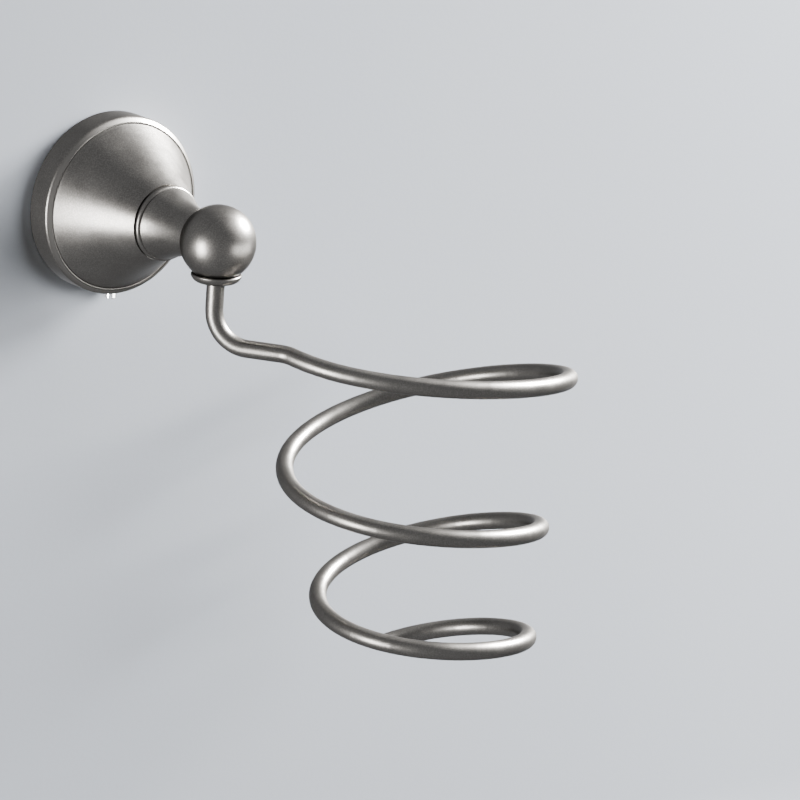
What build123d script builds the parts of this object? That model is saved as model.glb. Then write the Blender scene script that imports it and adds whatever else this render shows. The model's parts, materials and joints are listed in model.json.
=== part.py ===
from build123d import *
import math
import os

# Wall-mounted spiral hair dryer holder, in millimetres.
# The wall is the plane Y = 0 and the holder stands out of it along -Y.
# +X is to the right as seen from the room and +Z is up.
# The origin is the centre of the bracket's back face, on the wall.

# Bell-shaped flange cover, with distances measured out from the wall
FLANGE_RADIUS = 30.5
RIM_DEPTH = 8.2            # wall to where the rolled lip starts
RIM_WALL = 2.8
LIP_ROUND = 1.2
LIP_TURN = 52.0            # degrees that the lip turns over before it runs straight
LIP_WIDTH = 1.65           # rim's outside to the groove
GROOVE_REACH = 10.0        # wall to the groove's edges
GROOVE_RADIUS = 0.35
CONE_END = 34.2            # wall to the cone's small end
CONE_END_RADIUS = 12.9
CONE_SAG = 0.7             # how far the cone's side is drawn in at its middle
COVER_WALL = 2.0

# Parts clamped in a stack on the front of the cover
TRIM_RING_RADIUS = 12.8
TRIM_RING_THICKNESS = 2.3
TRIM_RING_ROUND = 1.1
NECK_BACK_RADIUS = 12.0
NECK_FRONT_RADIUS = 7.4
NECK_EDGE = 0.4            # rounded edge behind the flared end
NECK_SAG = 0.8             # how far the neck's side is drawn in at its middle
BALL_RADIUS = 12.6
BALL_REACH = 63.7          # wall to the ball's centre
SPIGOT_RADIUS = 3.9
SPIGOT_LENGTH = 2.5
BALL_FOOT_DROP = 11.1      # ball's centre to the flat that it turns on

# Tie screw M5 x 28 that clamps the stack, with its two washers
TIE_RADIUS = 2.5
TIE_LENGTH = 28.0
TIE_HOLE_RADIUS = 2.55
TIE_HEAD_RADIUS = 4.5
TIE_HEAD_HEIGHT = 3.3
FLAT_WASHER_RADIUS = 5.0
FLAT_WASHER_THICKNESS = 1.0
LOCK_WASHER_RADIUS = 4.6
LOCK_WASHER_THICKNESS = 1.2
LOCK_WASHER_GAP = 1.0

# Wall bracket, a shallow cup with an undercut rim
BRACKET_RADIUS = 27.4
BRACKET_UNDERCUT = 1.4
BRACKET_DEPTH = 7.0
BRACKET_PLATE = 2.5
BRACKET_RIM = 3.0
SCREW_SPACING = 30.0
SCREW_HOLE_RADIUS = 3.1    # wide enough to line the bracket up on its plugs

# Wall screws 4 x 32 and nylon wall plugs 6 x 28
SCREW_RADIUS = 1.9
SCREW_LENGTH = 32.0
SCREW_TIP = 4.0
SCREW_HEAD_RADIUS = 3.9
SCREW_HEAD_HEIGHT = 2.6
CROSS_WIDTH = 0.9
CROSS_LENGTH = 4.2
CROSS_DEPTH = 1.5
PLUG_RADIUS = 3.0
PLUG_LENGTH = 28.0
PLUG_BORE_RADIUS = 1.95
PLUG_SLIT = 0.8
PLUG_SLEEVE = 16.0         # solid length at the plug's mouth

# Slotted set screw M4 x 5 in the bottom of the rim
SET_SCREW_RADIUS = 1.95
SET_SCREW_HOLE_RADIUS = 2.0
SET_SCREW_PLACE = 5.4      # distance out from the wall
SET_SCREW_TIP = 27.35      # flange axis to the screw's pointed end
SET_SCREW_END = 32.6       # flange axis to the screw's slotted end
SET_SCREW_POINT = 0.8
SET_SCREW_SLOT = 0.8
SET_SCREW_TURN = -38.0     # slot's direction, degrees about the screw from the flange axis

# Dished collar and friction washer under the ball
WIRE_RADIUS = 3.0
STEM_RADIUS = 2.95         # wire's threaded end, inside the ball
STEM_TOP = 2.0             # stem's end above the ball's centre
STEM_HOLE_RADIUS = 3.0
STEM_HOLE_TOP = 3.0
COLLAR_HOLE_RADIUS = 3.05
TURNING_GAP = 0.05
FRICTION_WASHER_RADIUS = 4.8
FRICTION_WASHER_THICKNESS = 0.6
COLLAR_RADIUS = 8.4
COLLAR_BASE_RADIUS = 6.0
COLLAR_HEIGHT = 2.9
COLLAR_FLOOR = 1.4
COLLAR_LIP = 1.0

# Spiral wire: a stem, a bent arm and a tapering left-hand coil
ARM_DROP = 34.3            # ball's centre to the arm's centre line
ARM_BEND_RADIUS = 12.0
ARM_LENGTH = 26.0          # stem's axis to the joggle
ARM_HEADING = 34.55        # degrees from straight out of the wall, towards +X
JOGGLE_RADIUS = 10.0
COIL_AXIS_X = 72.05        # coil's axis at its top, to the right of the stem
COIL_AXIS_REACH = 77.5     # and out from the wall
COIL_TOP_DROP = 29.65      # and below the ball's centre
COIL_TOP_RADIUS = 57.9
COIL_TAPER = 16.95         # radius lost in the first turn, before the easing
COIL_TAPER_EASE = 2.94
COIL_PITCH = 63.6          # drop in the first turn, before the easing
COIL_PITCH_EASE = 6.6
COIL_START = 182.65        # place of the coil's start around its axis, degrees
COIL_TILT_SIDE = -5.25     # coil's lean about Y, degrees
COIL_TILT_FORWARD = -3.8   # coil's lean about X, degrees
COIL_CORNERS = 43
CORNERS_PER_TURN = 16
FIRST_CORNER = 0.85        # place of the first corner, in steps from the coil's start
ARC_SHARE = 0.49           # share of a run that each arc takes at its end
WIRE_TAIL = 2.5            # short straight at the free end
WIRE_END_ROUND = 1.4

NECK_BACK = CONE_END + TRIM_RING_THICKNESS
BALL_BACK = BALL_REACH - math.sqrt(BALL_RADIUS**2 - NECK_FRONT_RADIUS**2)
COVER_INSIDE = CONE_END - COVER_WALL
LOCK_WASHER_BACK = COVER_INSIDE - FLAT_WASHER_THICKNESS - LOCK_WASHER_THICKNESS
WASHER_TOP = -BALL_FOOT_DROP - TURNING_GAP
COLLAR_SEAT = WASHER_TOP - FRICTION_WASHER_THICKNESS
BALL_CENTRE = Vector(0, -BALL_REACH, 0)


def wall_point(radius, distance):
    """A profile point at this radius from the flange axis and distance from the wall."""
    return (radius, -distance)


def turned(*profile):
    """Turn a closed profile of edges about the flange axis."""
    return revolve(make_face(Curve() + list(profile)), Axis.Y)


def turned_outline(*points):
    """Turn a straight-sided outline of (radius, distance) points about the flange axis."""
    return turned(Polyline(*[wall_point(*p) for p in points], close=True))


def turned_post(*profile):
    """Turn a closed profile of edges in the XZ plane about the post's vertical axis."""
    return Pos(*BALL_CENTRE) * revolve(make_face(Curve() + list(profile)), Axis.Z)


def rod(radius, near, far, x=0.0):
    """A cylinder along the flange axis between two distances from the wall."""
    return turned_outline((0, near), (radius, near), (radius, far), (0, far)).moved(Location((x, 0, 0)))


def wall_bracket():
    """A shallow cup screwed to the wall, with a rim that is narrower at its back."""
    inner = BRACKET_RADIUS - BRACKET_RIM
    cup = turned_outline(
        (0, 0),
        (BRACKET_RADIUS - BRACKET_UNDERCUT, 0),
        (BRACKET_RADIUS, BRACKET_DEPTH),
        (inner, BRACKET_DEPTH),
        (inner, BRACKET_PLATE),
        (0, BRACKET_PLATE),
    )
    for side in (-1, 1):
        cup -= rod(SCREW_HOLE_RADIUS, -1, BRACKET_PLATE + 1, side * SCREW_SPACING / 2)
    return cup


def wall_screw(side):
    """A pan-head wood screw with a cross recess, its head on the bracket's plate."""
    crown = BRACKET_PLATE + SCREW_HEAD_HEIGHT
    end = BRACKET_PLATE - SCREW_LENGTH
    screw = turned(
        Polyline(
            wall_point(0, crown),
            wall_point(0, end),
            wall_point(SCREW_RADIUS, end + SCREW_TIP),
            wall_point(SCREW_RADIUS, BRACKET_PLATE),
            wall_point(SCREW_HEAD_RADIUS, BRACKET_PLATE),
            wall_point(SCREW_HEAD_RADIUS, BRACKET_PLATE + SCREW_HEAD_HEIGHT / 3),
        ),
        ThreePointArc(
            wall_point(SCREW_HEAD_RADIUS, BRACKET_PLATE + SCREW_HEAD_HEIGHT / 3),
            wall_point(SCREW_HEAD_RADIUS * 0.65, crown - SCREW_HEAD_HEIGHT / 6),
            wall_point(0, crown),
        ),
    )
    for length, height in ((CROSS_LENGTH, CROSS_WIDTH), (CROSS_WIDTH, CROSS_LENGTH)):
        screw -= Pos(0, -crown, 0) * Box(length, 2 * CROSS_DEPTH, height)
    return screw.moved(Location((side * SCREW_SPACING / 2, 0, 0)))


def wall_plug(side):
    """A nylon plug in the wall, slit lengthwise in its far part so that it can spread."""
    plug = plug_tube(-PLUG_LENGTH, 0)
    slit_length = PLUG_LENGTH - PLUG_SLEEVE
    slit_middle = PLUG_SLEEVE + slit_length / 2 + 1
    slit = Pos(0, slit_middle, 0) * Box(3 * PLUG_RADIUS, slit_length + 2, PLUG_SLIT)
    end_ring = plug_tube(-PLUG_LENGTH, 2 - PLUG_LENGTH)
    return (plug - slit + end_ring).moved(Location((side * SCREW_SPACING / 2, 0, 0)))


def plug_tube(near, far):
    """The plug's wall between two distances from the wall, without its slit."""
    return rod(PLUG_RADIUS, near, far) - rod(PLUG_BORE_RADIUS, near - 1, far + 1)


def lip_point(turn):
    """A profile point of the rim's rounded outer corner, this many degrees over."""
    angle = math.radians(turn)
    radius = FLANGE_RADIUS - LIP_ROUND * (1 - math.cos(angle))
    return wall_point(radius, RIM_DEPTH + LIP_ROUND * math.sin(angle))


def flange_cover():
    """The hollow bell: rim, rolled lip, groove and a cone that is slightly drawn in."""
    lip_inner = FLANGE_RADIUS - LIP_WIDTH
    cone_start = lip_inner - 2 * GROOVE_RADIUS
    middle = ((cone_start + CONE_END_RADIUS) / 2 - CONE_SAG, (GROOVE_REACH + CONE_END) / 2)
    outside = [
        Line(wall_point(FLANGE_RADIUS, 0), lip_point(0)),
        ThreePointArc(lip_point(0), lip_point(LIP_TURN / 2), lip_point(LIP_TURN)),
        Line(lip_point(LIP_TURN), wall_point(lip_inner, GROOVE_REACH)),
        ThreePointArc(
            wall_point(lip_inner, GROOVE_REACH),
            wall_point(lip_inner - GROOVE_RADIUS, GROOVE_REACH - GROOVE_RADIUS),
            wall_point(cone_start, GROOVE_REACH),
        ),
        ThreePointArc(
            wall_point(cone_start, GROOVE_REACH),
            wall_point(*middle),
            wall_point(CONE_END_RADIUS, CONE_END),
        ),
    ]
    inside = Polyline(
        wall_point(CONE_END_RADIUS, CONE_END),
        wall_point(TIE_HOLE_RADIUS, CONE_END),
        wall_point(TIE_HOLE_RADIUS, COVER_INSIDE),
        wall_point(CONE_END_RADIUS - COVER_WALL / 2, COVER_INSIDE),
        wall_point(middle[0] - COVER_WALL, middle[1]),
        wall_point(cone_start - COVER_WALL, GROOVE_REACH - COVER_WALL / 2),
        wall_point(FLANGE_RADIUS - RIM_WALL, RIM_DEPTH - COVER_WALL / 2),
        wall_point(FLANGE_RADIUS - RIM_WALL, 0),
        wall_point(FLANGE_RADIUS, 0),
    )
    return turned(*outside, inside) - set_screw_rod(SET_SCREW_HOLE_RADIUS, 20, FLANGE_RADIUS + 1)


def set_screw_rod(radius, near, far):
    """A cylinder along the set screw's axis between two distances below the flange axis."""
    return Pos(0, -SET_SCREW_PLACE, -(near + far) / 2) * Cylinder(radius, far - near)


def set_screw():
    """A headless screw that bears on the bracket's undercut rim, slotted at its outer end."""
    body = set_screw_rod(SET_SCREW_RADIUS, SET_SCREW_TIP, SET_SCREW_END)
    ends = body.edges().filter_by(GeomType.CIRCLE).sort_by(Axis.Z)
    body = chamfer(ends[-1], SET_SCREW_POINT)
    body = chamfer(body.edges().filter_by(GeomType.CIRCLE).sort_by(Axis.Z)[0], 0.3)
    slot = Rot(0, 0, SET_SCREW_TURN) * Box(SET_SCREW_SLOT, 3 * SET_SCREW_RADIUS, 2.4)
    return body - Pos(0, -SET_SCREW_PLACE, -SET_SCREW_END) * slot


def trim_ring():
    """The half-round ring between the cover and the neck."""
    flat = TRIM_RING_RADIUS - TRIM_RING_ROUND
    return turned(
        Polyline(
            wall_point(flat, CONE_END),
            wall_point(TIE_HOLE_RADIUS, CONE_END),
            wall_point(TIE_HOLE_RADIUS, NECK_BACK),
            wall_point(flat, NECK_BACK),
        ),
        ThreePointArc(
            wall_point(flat, NECK_BACK),
            wall_point(TRIM_RING_RADIUS, (CONE_END + NECK_BACK) / 2),
            wall_point(flat, CONE_END),
        ),
    )


def neck():
    """The flared neck, a cone with a slightly drawn-in side."""
    shoulder = NECK_BACK + NECK_EDGE
    corner = NECK_EDGE * math.sqrt(0.5)
    middle = ((NECK_BACK_RADIUS + NECK_FRONT_RADIUS) / 2 - NECK_SAG, (shoulder + BALL_BACK) / 2)
    return turned(
        ThreePointArc(
            wall_point(NECK_BACK_RADIUS - NECK_EDGE, NECK_BACK),
            wall_point(NECK_BACK_RADIUS - NECK_EDGE + corner, shoulder - corner),
            wall_point(NECK_BACK_RADIUS, shoulder),
        ),
        ThreePointArc(
            wall_point(NECK_BACK_RADIUS, shoulder),
            wall_point(*middle),
            wall_point(NECK_FRONT_RADIUS, BALL_BACK),
        ),
        Polyline(
            wall_point(NECK_FRONT_RADIUS, BALL_BACK),
            wall_point(SPIGOT_RADIUS, BALL_BACK),
            wall_point(SPIGOT_RADIUS, BALL_BACK - SPIGOT_LENGTH),
            wall_point(TIE_HOLE_RADIUS, BALL_BACK - SPIGOT_LENGTH),
            wall_point(TIE_HOLE_RADIUS, NECK_BACK),
            wall_point(NECK_BACK_RADIUS - NECK_EDGE, NECK_BACK),
        ),
    )


def ball():
    """The ball, with a spigot into the neck, a tapped hole behind and the stem's hole below."""
    ball_front = BALL_REACH + BALL_RADIUS
    sphere = turned(
        Polyline(
            wall_point(0, ball_front),
            wall_point(0, BALL_BACK - SPIGOT_LENGTH),
            wall_point(SPIGOT_RADIUS, BALL_BACK - SPIGOT_LENGTH),
            wall_point(SPIGOT_RADIUS, BALL_BACK),
            wall_point(NECK_FRONT_RADIUS, BALL_BACK),
        ),
        ThreePointArc(
            wall_point(NECK_FRONT_RADIUS, BALL_BACK),
            wall_point(BALL_RADIUS, BALL_REACH),
            wall_point(0, ball_front),
        ),
    )
    tie_end = LOCK_WASHER_BACK + TIE_LENGTH
    sphere -= rod(TIE_HOLE_RADIUS, BALL_BACK - SPIGOT_LENGTH - 1, tie_end + 1)
    sphere -= Pos(0, -BALL_REACH, -BALL_FOOT_DROP - 5) * Box(20, 20, 10)
    bore_length = BALL_FOOT_DROP + STEM_HOLE_TOP
    bore = Cylinder(STEM_HOLE_RADIUS, bore_length)
    return sphere - Pos(0, -BALL_REACH, STEM_HOLE_TOP - bore_length / 2) * bore


def tie_screw():
    """The machine screw that clamps the cover, ring and neck against the ball."""
    head_back = LOCK_WASHER_BACK - TIE_HEAD_HEIGHT
    screw = turned_outline(
        (0, head_back),
        (TIE_HEAD_RADIUS, head_back),
        (TIE_HEAD_RADIUS, LOCK_WASHER_BACK),
        (TIE_RADIUS, LOCK_WASHER_BACK),
        (TIE_RADIUS, LOCK_WASHER_BACK + TIE_LENGTH),
        (0, LOCK_WASHER_BACK + TIE_LENGTH),
    )
    for length, height in ((CROSS_LENGTH, CROSS_WIDTH), (CROSS_WIDTH, CROSS_LENGTH)):
        screw -= Pos(0, -head_back, 0) * Box(length, 2 * CROSS_DEPTH, height)
    return screw


def flat_washer():
    """The plain washer against the inside of the cover's front."""
    back = COVER_INSIDE - FLAT_WASHER_THICKNESS
    return rod(FLAT_WASHER_RADIUS, back, COVER_INSIDE) - rod(TIE_HOLE_RADIUS, back - 1, COVER_INSIDE + 1)


def lock_washer():
    """The split spring washer under the tie screw's head."""
    front = COVER_INSIDE - FLAT_WASHER_THICKNESS
    ring = rod(LOCK_WASHER_RADIUS, LOCK_WASHER_BACK, front)
    ring -= rod(TIE_HOLE_RADIUS, LOCK_WASHER_BACK - 1, front + 1)
    split = Box(LOCK_WASHER_GAP, 3 * LOCK_WASHER_THICKNESS, LOCK_WASHER_RADIUS + 1)
    return ring - Pos(0, -front, (LOCK_WASHER_RADIUS + 1) / 2) * split


def friction_washer():
    """The nylon washer that the arm turns on, under the ball's flat foot."""
    middle = Pos(0, -BALL_REACH, (WASHER_TOP + COLLAR_SEAT) / 2)
    ring = Cylinder(FRICTION_WASHER_RADIUS, FRICTION_WASHER_THICKNESS)
    return middle * (ring - Cylinder(COLLAR_HOLE_RADIUS, 2 * FRICTION_WASHER_THICKNESS))


def dished_collar():
    """The cup-shaped collar on the stem, open upwards around the ball's foot."""
    base = COLLAR_SEAT - COLLAR_FLOOR
    rim = base + COLLAR_HEIGHT
    bulge = (COLLAR_RADIUS + COLLAR_BASE_RADIUS) / 2 + 0.6
    return turned_post(
        Plane.XZ * Line((COLLAR_HOLE_RADIUS, base), (COLLAR_BASE_RADIUS, base)),
        Plane.XZ * ThreePointArc(
            (COLLAR_BASE_RADIUS, base),
            (bulge, base + COLLAR_HEIGHT * 0.35),
            (COLLAR_RADIUS, rim - COLLAR_LIP / 2),
        ),
        Plane.XZ * ThreePointArc(
            (COLLAR_RADIUS, rim - COLLAR_LIP / 2),
            (COLLAR_RADIUS - COLLAR_LIP / 2, rim),
            (COLLAR_RADIUS - COLLAR_LIP, rim - COLLAR_LIP / 2),
        ),
        Plane.XZ * Polyline(
            (COLLAR_RADIUS - COLLAR_LIP, rim - COLLAR_LIP / 2),
            (FRICTION_WASHER_RADIUS + 0.2, COLLAR_SEAT),
            (COLLAR_HOLE_RADIUS, COLLAR_SEAT),
            (COLLAR_HOLE_RADIUS, base),
        ),
    )


def coil_point(steps, outward=1.0):
    """A point of the coil this many corner steps from its start, leaning as the coil leans."""
    turns = steps / CORNERS_PER_TURN
    angle = math.radians(COIL_START + 360 * turns)
    radius = outward * (COIL_TOP_RADIUS - COIL_TAPER * turns + COIL_TAPER_EASE * turns**2)
    drop = COIL_PITCH * turns - COIL_PITCH_EASE * turns**2
    upright = Vector(radius * math.cos(angle), radius * math.sin(angle), -drop)
    leaning = upright.rotate(Axis.Y, COIL_TILT_SIDE).rotate(Axis.X, COIL_TILT_FORWARD)
    return Vector(COIL_AXIS_X, -COIL_AXIS_REACH, -COIL_TOP_DROP) + leaning


def wire_route():
    """Corner points of the wire's centre line, from the stem's foot to the free end.

    The coil's corners stand outside the coil by as much as their arcs cut inside them.
    """
    heading = math.radians(ARM_HEADING)
    start = BALL_CENTRE + Vector(0, 0, COLLAR_SEAT)
    corner = BALL_CENTRE + Vector(0, 0, -ARM_DROP)
    joggle = corner + ARM_LENGTH * Vector(math.sin(heading), -math.cos(heading), 0)
    outward = 1 / math.cos(math.pi / CORNERS_PER_TURN)
    coil = [coil_point(step + FIRST_CORNER, outward) for step in range(COIL_CORNERS)]
    end = coil_point(COIL_CORNERS - 0.5 + FIRST_CORNER)
    return [start, corner, joggle, *coil, end + WIRE_TAIL * (end - coil[-1]).normalized()]


def bend_radii(route):
    """One radius for each corner: two set bends, then arcs that meet along the coil."""
    radii = [ARM_BEND_RADIUS, JOGGLE_RADIUS]
    for before, corner, after in zip(route[2:], route[3:], route[4:]):
        turn = math.radians((corner - before).get_angle(after - corner))
        run = (corner - before if after is route[-1] else after - corner).length
        radii.append(ARC_SHARE * run / math.tan(turn / 2))
    return radii


def spiral_wire():
    """The bent rod with its threaded stem, swept along straight runs and tangent arcs."""
    route = wire_route()
    centre_line = FilletPolyline(*route, radius=bend_radii(route))
    section = Plane(origin=route[0], z_dir=(0, 0, -1)) * Circle(WIRE_RADIUS)
    rod_body = sweep(section, path=centre_line)
    tip = rod_body.edges().filter_by(GeomType.CIRCLE).sort_by_distance(route[-1])[0]
    rod_body = fillet(tip, WIRE_END_ROUND)
    stem_length = STEM_TOP - COLLAR_SEAT
    stem = Pos(0, -BALL_REACH, (STEM_TOP + COLLAR_SEAT) / 2) * Cylinder(STEM_RADIUS, stem_length)
    return rod_body + stem


PIECES = {
    "wall_bracket": wall_bracket(),
    "wall_screw_left": wall_screw(-1),
    "wall_screw_right": wall_screw(1),
    "wall_plug_left": wall_plug(-1),
    "wall_plug_right": wall_plug(1),
    "flange_cover": flange_cover(),
    "set_screw": set_screw(),
    "trim_ring": trim_ring(),
    "neck": neck(),
    "ball": ball(),
    "tie_screw": tie_screw(),
    "flat_washer": flat_washer(),
    "lock_washer": lock_washer(),
    "friction_washer": friction_washer(),
    "dished_collar": dished_collar(),
    "spiral_wire": spiral_wire(),
}

os.makedirs("parts", exist_ok=True)
for name, piece in PIECES.items():
    export_step(piece, f"parts/{name}.step")
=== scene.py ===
import bpy
import json
import math
from mathutils import Matrix, Vector

# Looks of a wall-mounted spiral hair dryer holder, in metres.
# The wall is the plane Y = 0, the holder stands out of it along -Y and +Z is up.

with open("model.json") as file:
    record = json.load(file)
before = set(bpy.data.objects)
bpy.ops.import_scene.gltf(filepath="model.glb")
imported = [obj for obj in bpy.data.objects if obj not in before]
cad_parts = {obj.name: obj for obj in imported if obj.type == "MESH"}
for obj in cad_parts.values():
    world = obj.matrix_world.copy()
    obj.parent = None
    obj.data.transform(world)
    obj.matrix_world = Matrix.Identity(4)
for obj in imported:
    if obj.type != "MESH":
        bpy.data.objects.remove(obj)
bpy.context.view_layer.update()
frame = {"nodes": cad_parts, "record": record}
nodes = frame["nodes"]

GUNMETAL_DARK = (0.071, 0.067, 0.062)
GUNMETAL_LIGHT = (0.085, 0.081, 0.075)
BLAST_GRAIN = 0.00045      # size of the plating's fine grain
# The lip band is where the flange gets its painted reflection and wear.
LIP_BAND = (0.0281, 0.0300, 0.0072)   # flange lip's inner radius, outer radius and depth
FLANGE_SIDE = ("flange_cover", "trim_ring", "neck", "ball", "dished_collar", "set_screw")


class Nodes:
    """A new material's node tree, with short calls to add nodes and links."""

    def __init__(self, name):
        self.material = bpy.data.materials.new(name)
        self.material.use_nodes = True
        self.tree = self.material.node_tree
        self.tree.nodes.clear()
        self.output = self.add("ShaderNodeOutputMaterial")
        self.shader = self.add("ShaderNodeBsdfPrincipled")
        self.link(self.shader.outputs["BSDF"], self.output.inputs["Surface"])
        self.place = self.add("ShaderNodeTexCoord").outputs["Object"]

    def add(self, kind, **settings):
        node = self.tree.nodes.new(kind)
        for key, value in settings.items():
            setattr(node, key, value)
        return node

    def link(self, start, end):
        self.tree.links.new(start, end)

    def noise(self, size, detail=3.0, roughness=0.5, stretch=(1, 1, 1)):
        """Noise whose features are about this many metres across."""
        scaled = self.add("ShaderNodeMapping")
        scaled.inputs["Scale"].default_value = stretch
        self.link(self.place, scaled.inputs["Vector"])
        noise = self.add("ShaderNodeTexNoise")
        noise.inputs["Scale"].default_value = 1 / size
        noise.inputs["Detail"].default_value = detail
        noise.inputs["Roughness"].default_value = roughness
        self.link(scaled.outputs["Vector"], noise.inputs["Vector"])
        return noise.outputs["Fac"]

    def between(self, value, low, high, start=0.3, end=0.7):
        """The value's range from start to end, mapped to low to high."""
        spread = self.add("ShaderNodeMapRange")
        for name, number in (("From Min", start), ("From Max", end), ("To Min", low), ("To Max", high)):
            if isinstance(number, (int, float)):
                spread.inputs[name].default_value = number
            else:
                self.link(number, spread.inputs[name])
        self.link(value, spread.inputs["Value"])
        return spread.outputs["Result"]

    def blend(self, value, first, second):
        """A colour between two, by the value from 0 to 1."""
        mix = self.add("ShaderNodeMix", data_type="RGBA")
        self.link(value, mix.inputs["Factor"])
        for socket, colour in ((mix.inputs[6], first), (mix.inputs[7], second)):
            if isinstance(colour, tuple):
                socket.default_value = (*colour, 1)
            else:
                self.link(colour, socket)
        return mix.outputs[2]

    def ring(self, inner, outer, depth, edge=0.0003):
        """1 between two radii about the Y axis and beyond a depth from the wall, 0 elsewhere."""
        across = self.add("ShaderNodeVectorMath", operation="MULTIPLY")
        across.inputs[1].default_value = (1, 0, 1)
        self.link(self.place, across.inputs[0])
        length = self.add("ShaderNodeVectorMath", operation="LENGTH")
        self.link(across.outputs["Vector"], length.inputs[0])
        radius = length.outputs["Value"]
        split = self.add("ShaderNodeSeparateXYZ")
        self.link(self.place, split.inputs["Vector"])
        band = self.between(radius, 0, 1, inner - edge, inner + edge)
        for value, start, end in ((radius, outer - edge, outer + edge),
                                  (split.outputs["Y"], -depth - edge, -depth + edge)):
            band = self.between(value, band, 0, start, end)
        return band

    def bump(self, height, distance, strength):
        """A bump of up to this distance in metres."""
        bump = self.add("ShaderNodeBump")
        bump.inputs["Distance"].default_value = distance
        bump.inputs["Strength"].default_value = strength
        self.link(height, bump.inputs["Height"])
        return bump.outputs["Normal"]

    def finish(self, colour, roughness, normal, **constants):
        """Link the surface's colour, roughness and normal and set its constant sockets."""
        self.link(colour, self.shader.inputs["Base Color"])
        self.link(roughness, self.shader.inputs["Roughness"])
        self.link(normal, self.shader.inputs["Normal"])
        for name, value in constants.items():
            self.shader.inputs[name.replace("_", " ")].default_value = value
        return self.material


def satin_metal(name, rough, lip=None):
    """Plated metal with a fine blasted grain, cloudy tone and faint smudges.

    A lip, given as its inner radius, outer radius and depth, is painted brighter, a painted reflection
    together with wear from rubbing, and made duller.
    """
    n = Nodes(name)
    clouds = n.between(n.noise(0.018, 4), 0, 1)
    speckle = n.noise(BLAST_GRAIN, 2, 0.6)
    tone = n.blend(clouds, GUNMETAL_DARK, GUNMETAL_LIGHT)
    fleck = n.between(speckle, 0.0, 1.0, 0.40, 0.80)
    colour = n.blend(fleck, tone, tuple(1.45 * c for c in GUNMETAL_LIGHT))
    smudge = n.between(n.noise(0.009, 5, 0.6), rough - 0.03, rough + 0.04)
    if lip:
        # Painted reflection: the lip band's colour is lifted brighter to stand in for light caught on
        # the lip, together with wear from rubbing; its roughness also rises.
        lip_wear_and_sheen = n.ring(*lip)
        colour = n.blend(lip_wear_and_sheen, colour, tuple(1.2 * c for c in GUNMETAL_LIGHT))
        smudge = n.between(lip_wear_and_sheen, smudge, rough + 0.08, 0, 1)
    normal = n.bump(n.noise(BLAST_GRAIN, 3, 0.6), 0.00004, 0.6)
    return n.finish(colour, smudge, normal, Metallic=1.0, Specular_Tint=(0.5, 0.5, 0.5, 1))


def plated_steel(name, dark, light, rough):
    """Bright or zinc plating with fine turning marks and dull spots."""
    n = Nodes(name)
    colour = n.blend(n.between(n.noise(0.003, 4), 0, 1), dark, light)
    worn = n.between(n.noise(0.0015, 4, 0.6), rough, rough + 0.12)
    normal = n.bump(n.noise(0.0002, 2, 0.5, (1, 6, 1)), 0.00001, 0.4)
    return n.finish(colour, worn, normal, Metallic=1.0)


def moulded_nylon(name, dark, light):
    """Moulded nylon, slightly translucent, with a fine uneven surface."""
    n = Nodes(name)
    colour = n.blend(n.between(n.noise(0.004, 3), 0, 1), dark, light)
    rough = n.between(n.noise(0.001, 3), 0.38, 0.48)
    normal = n.bump(n.noise(0.0006, 3), 0.00002, 0.4)
    return n.finish(colour, rough, normal, Subsurface_Weight=0.15, Subsurface_Scale=0.002)


finishes = {
    "satin_gunmetal": satin_metal("satin gunmetal", 0.31),
    "satin_gunmetal_rod": satin_metal("satin gunmetal rod", 0.34),
    "bright_plated_steel": plated_steel("bright plating", (0.66, 0.66, 0.65), (0.80, 0.80, 0.79), 0.12),
    "zinc_plated_steel": plated_steel("zinc plating", (0.50, 0.51, 0.53), (0.62, 0.63, 0.65), 0.26),
    "nylon_grey": moulded_nylon("grey nylon", (0.44, 0.45, 0.46), (0.50, 0.51, 0.52)),
    "nylon_natural": moulded_nylon("natural nylon", (0.74, 0.72, 0.66), (0.80, 0.78, 0.72)),
}
# The flange's finish carries the lip's painted reflection and wear.
flange_finish = satin_metal("satin gunmetal flange", 0.31, LIP_BAND)
for part in frame["record"]["subparts"]:
    node = nodes[part["node"]]
    node.data.materials.clear()
    node.data.materials.append(finishes[part["material_slot"]])
nodes["flange_cover"].data.materials[0] = flange_finish


def backdrop_material():
    """Pale painted plaster that shows from the room's side only."""
    n = Nodes("painted wall")
    tone = n.blend(n.between(n.noise(0.35, 2), 0, 1), (0.515, 0.548, 0.602), (0.547, 0.580, 0.636))
    rough = n.between(n.noise(0.02, 3), 0.55, 0.62)
    normal = n.bump(n.noise(0.0016, 3, 0.6), 0.00006, 0.5)
    n.finish(tone, rough, normal, Specular_IOR_Level=0.0)
    side = n.add("ShaderNodeNewGeometry").outputs["Backfacing"]
    clear = n.add("ShaderNodeBsdfTransparent")
    mix = n.add("ShaderNodeMixShader")
    n.link(side, mix.inputs["Fac"])
    n.link(n.shader.outputs["BSDF"], mix.inputs[1])
    n.link(clear.outputs["BSDF"], mix.inputs[2])
    n.link(mix.outputs["Shader"], n.output.inputs["Surface"])
    return n.material


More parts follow.
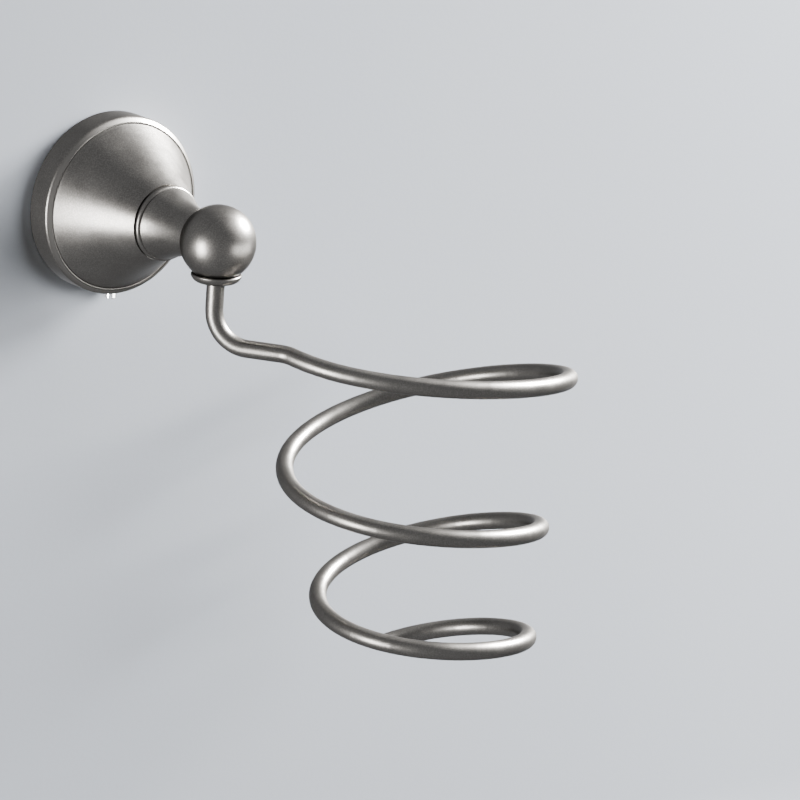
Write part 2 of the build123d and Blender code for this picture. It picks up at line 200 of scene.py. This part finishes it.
def backdrop(wall_y=0.0003, floor_z=-0.42, top=1.6, depth=4.0, half_width=3.0,
             corner=1.0, cove=0.16):
    """A room of painted walls round a floor, with rounded corners, that faces inwards."""
    steps = 12
    heights = [(0, top)]
    for i in range(steps + 1):
        a = math.radians(90 * i / steps)
        heights.append((cove * (1 - math.cos(a)), floor_z + cove * (1 - math.sin(a))))
    outline = []
    for x_side, y_centre, start in ((1, wall_y - corner, 0), (-1, wall_y - corner, 90),
                                    (-1, corner - depth, 180), (1, corner - depth, 270)):
        for i in range(steps + 1):
            a = math.radians(start + 90 * i / steps)
            outline.append((x_side * (half_width - corner), y_centre, math.cos(a), math.sin(a)))
    points = [
        (x + (corner - inset) * along, y + (corner - inset) * across, z)
        for inset, z in heights for x, y, along, across in outline
    ]
    count = len(outline)
    faces = []
    for above in range(0, (len(heights) - 1) * count, count):
        below = above + count
        for i in range(count):
            following = (i + 1) % count
            faces.append((above + i, below + i, below + following, above + following))
    faces.append(tuple(reversed(range(len(points) - count, len(points)))))
    mesh = bpy.data.meshes.new("backdrop")
    mesh.from_pydata(points, [], faces)
    mesh.polygons.foreach_set("use_smooth", [True] * (len(faces) - 1) + [False])
    mesh.flip_normals()
    mesh.materials.append(backdrop_material())
    sheet = bpy.data.objects.new("backdrop", mesh)
    bpy.context.scene.collection.objects.link(sheet)
    sheet.visible_diffuse = False
    sheet.visible_glossy = False
    sheet.visible_shadow = False


def softbox(name, direction, distance, size, power, lights,
            only=(), aim=(0.04, -0.06, -0.06), spread=180):
    """A rectangular area light in this direction from the holder, turned towards it.

    It lights the "metal" as a card seen in it, or the "wall" and other dull surfaces. It reaches
    only the named nodes, if some are named.
    """
    light = bpy.data.lights.new(name, "AREA")
    light.shape = "RECTANGLE"
    light.size, light.size_y = size
    light.energy = power
    light.spread = math.radians(spread)
    box = bpy.data.objects.new(name, light)
    bpy.context.scene.collection.objects.link(box)
    away = Vector(direction).normalized()
    box.location = Vector(aim) + away * distance
    box.rotation_mode = "QUATERNION"
    box.rotation_quaternion = away.to_track_quat("Z", "Y")
    box.visible_camera = False
    box.visible_diffuse = lights == "wall"
    box.visible_glossy = lights == "metal"
    if only:
        reached = bpy.data.collections.new(name)
        for node in only:
            reached.objects.link(nodes[node])
        box.light_linking.receiver_collection = reached


def surroundings(strength):
    """An even, dim studio room, as the metal mirrors it."""
    world = bpy.data.worlds.new("studio room")
    world.use_nodes = True
    back = world.node_tree.nodes["Background"]
    back.inputs["Color"].default_value = (0.93, 0.95, 1.0, 1)
    back.inputs["Strength"].default_value = strength
    world.cycles_visibility.diffuse = False
    bpy.context.scene.world = world


def camera(azimuth, elevation, roll, distance, lens, shift_right, shift_up):
    """The main camera; the shifts are from the origin to the middle of its view, across the view."""
    a, e, r = (math.radians(angle) for angle in (azimuth, elevation, roll))
    back = Vector((math.sin(a) * math.cos(e), -math.cos(a) * math.cos(e), math.sin(e)))
    level = Vector((math.cos(a), math.sin(a), 0))
    upright = back.cross(level)
    right = math.cos(r) * level + math.sin(r) * upright
    up = math.cos(r) * upright - math.sin(r) * level
    place = shift_right * right + shift_up * up + distance * back
    cam = bpy.data.objects.new("camera", bpy.data.cameras.new("camera"))
    bpy.context.scene.collection.objects.link(cam)
    cam.matrix_world = Matrix(
        [(right[i], up[i], back[i], place[i]) for i in range(3)] + [(0, 0, 0, 1)]
    )
    cam.data.lens = lens
    cam.data.sensor_width = 36
    cam.data.clip_start, cam.data.clip_end = 0.05, 20
    bpy.context.scene.camera = cam


backdrop()
surroundings(0.9)
softbox("key card", (0.855, -0.05, 0.515), 1.2, size=(0.34, 0.26), power=700, lights="metal")
softbox("left card", (-0.98, -0.06, -0.12), 1.2, size=(0.38, 0.58), power=68, lights="metal")
softbox("low right card", (0.66, -0.72, -0.12), 1.2, size=(1.6, 0.44), power=34, lights="metal",
        only=FLANGE_SIDE)
softbox("wall key", (0.87, -0.09, 0.48), 1.2, size=(0.30, 0.40), power=82, lights="wall")
softbox("wall fill", (0.60, -0.80, 0.25), 1.6, size=(1.2, 0.8), power=44, lights="wall")
softbox("floor light", (0, 0, 1), 1.7, size=(3.0, 1.5), power=90, lights="wall",
        aim=(0.1, -1.7, -0.42), spread=50)
camera(azimuth=-39.17, elevation=15.45, roll=3.83, distance=1.8, lens=241.4,
       shift_right=0.0987, shift_up=-0.0672)
